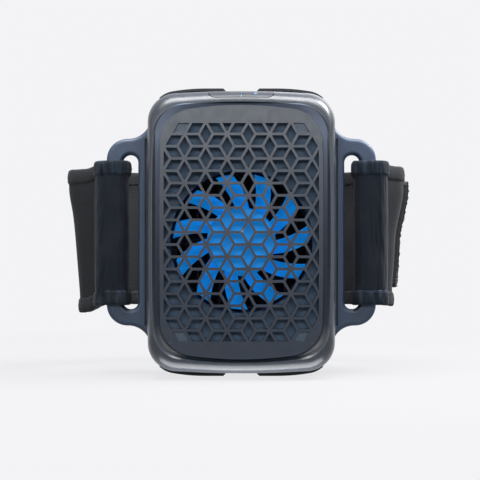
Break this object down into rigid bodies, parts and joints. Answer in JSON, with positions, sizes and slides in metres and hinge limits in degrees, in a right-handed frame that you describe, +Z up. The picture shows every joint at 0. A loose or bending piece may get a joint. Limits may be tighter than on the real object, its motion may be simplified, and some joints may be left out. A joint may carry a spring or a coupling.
{
  "type": "hot cold therapy machine",
  "caption": "Strap-on hot and cold therapy machine: grilled housing with a fan, press keys, a cooled metal plate and an elastic limb strap through side lugs.",
  "frame": {"origin": "on the ground plane that the lower lips stand on, on the machine's middle plane, level with the touched face of the treatment plate", "axes": "+X to the right seen from the grille, +Y rearwards from the grille through the plate to the limb, +Z up along the machine's height towards the keys"},
  "size_m": [0.1376, 0.1, 0.1132],
  "materials": {
    "housing_grey": "fine satin grey moulding",
    "frame_blue": "satin blue-grey moulding",
    "cover_dark": "satin dark moulding",
    "key_grey": "satin grey keys",
    "light_guide": "frosted white light guide",
    "board_green": "solder mask",
    "component_black": "moulded black packages",
    "aluminium": "fine brushed",
    "sink_black": "black anodised",
    "steel": "plain steel",
    "brass": "sintered",
    "copper": "enamelled winding",
    "ceramic_white": "white ceramic",
    "silicone_grey": "soft grey silicone",
    "foam_black": "closed-cell foam",
    "shroud_slate": "matt slate panel",
    "fan_blue": "bright translucent blue",
    "bracket_black": "black moulding",
    "cell_wrap": "plain blue sleeve",
    "strap_navy": "dense elastic weave",
    "binding_charcoal": "folded edge binding",
    "hook_charcoal": "hook tape"
  },
  "bodies": {
    "machine": {"front_housing": "housing_grey", "front_grille": "housing_grey", "strap_frame": "frame_blue", "rear_cover": "cover_dark", "light_strip": "light_guide", "control_board": "board_green", "mode_switch": "component_black", "power_switch": "component_black", "indicator_led": "light_guide", "treatment_plate": "aluminium", "temperature_sensor": "component_black", "plate_gasket": "silicone_grey", "insulation_foam": "foam_black", "heat_sink": "sink_black", "cold_pad": "silicone_grey", "peltier_module": "ceramic_white", "hot_pad": "silicone_grey", "fan_shroud": "shroud_slate", "fan_bracket": "bracket_black", "fan_bearing": "brass", "stator_core": "steel", "stator_coils": "copper", "battery_cell_upper": "cell_wrap", "battery_cell_lower": "cell_wrap", "cell_cradle_upper": "bracket_black", "cell_cradle_lower": "bracket_black", "cell_contacts": "steel", "main_board": "board_green", "board_components": "component_black", "charging_port": "steel", "shell_screws": "steel", "clamp_screws": "steel", "fan_screws": "steel", "board_screws": "steel", "strap_band": "strap_navy", "strap_binding_upper": "binding_charcoal", "strap_binding_lower": "binding_charcoal", "hook_pad": "hook_charcoal"},
    "fan": {"fan_impeller": "fan_blue", "fan_shaft": "steel", "rotor_magnet": "component_black"},
    "power_key": {"power_button": "key_grey", "indicator_lens": "light_guide"},
    "mode_key": {"mode_button": "key_grey"}
  },
  "joints": [
    {"name": "fan_spin", "type": "hinge", "parent": "machine", "child": "fan", "pos_m": [0, -0.038, 0.053], "axis": [0, 1, 0], "continuous": true},
    {"name": "power_button_press", "type": "slide", "parent": "machine", "child": "power_key", "axis": [0, 0.4397, -0.8981], "range_m": [0, 0.00035], "stiffness_N_per_m": 1200, "springref_m": -0.0002},
    {"name": "mode_button_press", "type": "slide", "parent": "machine", "child": "mode_key", "axis": [0, 0.4397, -0.8981], "range_m": [0, 0.00035], "stiffness_N_per_m": 1200, "springref_m": -0.0002}
  ]
}
